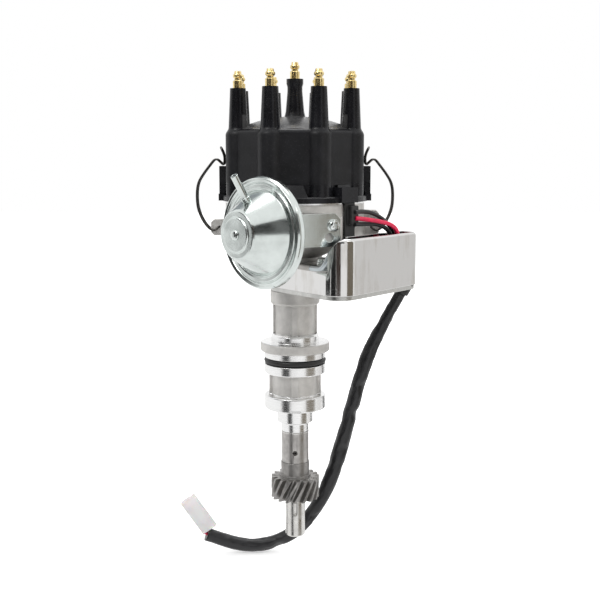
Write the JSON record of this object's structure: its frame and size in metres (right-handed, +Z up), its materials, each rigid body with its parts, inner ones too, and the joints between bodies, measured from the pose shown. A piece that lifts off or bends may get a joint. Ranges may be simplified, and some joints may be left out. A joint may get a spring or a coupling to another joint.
{
  "type": "ignition distributor",
  "caption": "Electronic ignition distributor with a clipped cap, vacuum advance canister, side module case, helical drive gear and a sleeved harness with a plug.",
  "frame": {"origin": "on the shaft axis, at the underside of the mounting flange", "axes": "+Z up along the shaft towards the cap, -Y towards the front of the picture, where the vacuum canister points to the left and the module case lies to the right; +X to the right"},
  "size_m": [0.1644, 0.129, 0.3372],
  "materials": {
    "cast_aluminium": "sand cast, blasted",
    "bronze": "sintered",
    "black_rubber": "matte",
    "chrome": "polished plate",
    "aluminium_plate": "satin",
    "zinc_steel": "bright zinc plate",
    "dark_steel": "ground",
    "spring_steel": "dark wire",
    "potting": "cast resin",
    "red_insulation": "satin",
    "black_sleeving": "woven sleeve",
    "white_nylon": "translucent nylon",
    "black_moulding": "satin moulding",
    "brass": "bright",
    "carbon": "carbon",
    "brown_coil": "lacquered winding"
  },
  "bodies": {
    "body": {"housing": "cast_aluminium", "upper_bush": "bronze", "lower_bush": "bronze", "shank_o_ring": "black_rubber", "module_case": "chrome", "module_base_plate": "aluminium_plate", "case_screws": "zinc_steel", "ignition_module": "potting", "pickup_grommet": "black_rubber", "red_lead": "red_insulation", "black_leads": "black_rubber", "harness_gland": "black_rubber", "harness_sleeve": "black_sleeving", "connector_shell": "white_nylon", "connector_wires": "red_insulation", "distributor_cap": "black_moulding", "outer_terminals": "brass", "centre_terminal": "brass", "cap_electrodes": "brass", "carbon_spring": "spring_steel", "canister_front": "zinc_steel", "canister_back": "zinc_steel", "diaphragm": "black_rubber", "vacuum_spring": "spring_steel", "hose_nipple": "zinc_steel", "canister_bracket": "zinc_steel", "bracket_screws": "zinc_steel", "dome_rivet": "zinc_steel", "fixed_plate": "zinc_steel", "plate_screws": "zinc_steel"},
    "shaft": {"drive_shaft": "dark_steel", "drive_gear": "dark_steel", "gear_pin": "dark_steel", "shaft_collar": "dark_steel", "collar_pin": "dark_steel", "thrust_washer": "zinc_steel", "advance_cam": "dark_steel"},
    "advance": {"advance_sleeve": "zinc_steel", "advance_springs": "spring_steel", "reluctor": "dark_steel", "reluctor_pin": "dark_steel", "rotor": "black_moulding", "rotor_blade": "brass", "rotor_screws": "zinc_steel"},
    "weight_a": {"weight_1": "zinc_steel"},
    "weight_b": {"weight_2": "zinc_steel"},
    "pickup": {"pickup_plate": "zinc_steel", "pickup_coil": "brown_coil", "pickup_magnet": "dark_steel", "pole_piece": "zinc_steel"},
    "vacuum": {"vacuum_rod": "zinc_steel"},
    "left_clip": {"left_bail": "spring_steel"},
    "right_clip": {"right_bail": "spring_steel"},
    "button": {"carbon_button": "carbon"}
  },
  "joints": [
    {"name": "shaft_spin", "type": "hinge", "parent": "body", "child": "shaft", "pos_m": [0, 0, 0], "axis": [0, 0, 1], "continuous": true},
    {"name": "advance_turn", "type": "hinge", "parent": "shaft", "child": "advance", "pos_m": [0, 0, 0.09], "axis": [0, 0, 1], "range_deg": [0, 12], "stiffness_Nm_per_rad": 0.4, "deforming": ["advance_springs"]},
    {"name": "weight_1_swing", "type": "hinge", "parent": "advance", "child": "weight_a", "pos_m": [0.022, 0, 0.097], "axis": [0, 0, -1], "range_deg": [0, 14]},
    {"name": "weight_2_swing", "type": "hinge", "parent": "advance", "child": "weight_b", "pos_m": [-0.022, 0, 0.097], "axis": [0, 0, -1], "range_deg": [0, 14]},
    {"name": "pickup_turn", "type": "hinge", "parent": "body", "child": "pickup", "pos_m": [0, 0, 0.0803], "axis": [0, 0, -1], "range_deg": [0, 10], "stiffness_Nm_per_rad": 0.5},
    {"name": "vacuum_rod_slide", "type": "slide", "parent": "body", "child": "vacuum", "axis": [-0.7071, -0.7071, 0], "range_m": [0, 0.0046], "deforming": ["diaphragm", "vacuum_spring"]},
    {"name": "left_bail_swing", "type": "hinge", "parent": "body", "child": "left_clip", "pos_m": [-0.0498, 0, 0.0826], "axis": [0, -1, 0], "range_deg": [0, 100]},
    {"name": "right_bail_swing", "type": "hinge", "parent": "body", "child": "right_clip", "pos_m": [0.0498, 0, 0.0826], "axis": [0, 1, 0], "range_deg": [0, 16]},
    {"name": "button_slide", "type": "slide", "parent": "body", "child": "button", "axis": [0, 0, 1], "range_m": [0, 0.0015], "stiffness_N_per_m": 250, "deforming": ["carbon_spring"]}
  ],
  "couplings": [
    {"joint": "weight_1_swing", "follows": "advance_turn", "ratio": 1.16},
    {"joint": "weight_2_swing", "follows": "advance_turn", "ratio": 1.16},
    {"joint": "vacuum_rod_slide", "follows": "pickup_turn", "m_per_rad": 0.0258}
  ]
}
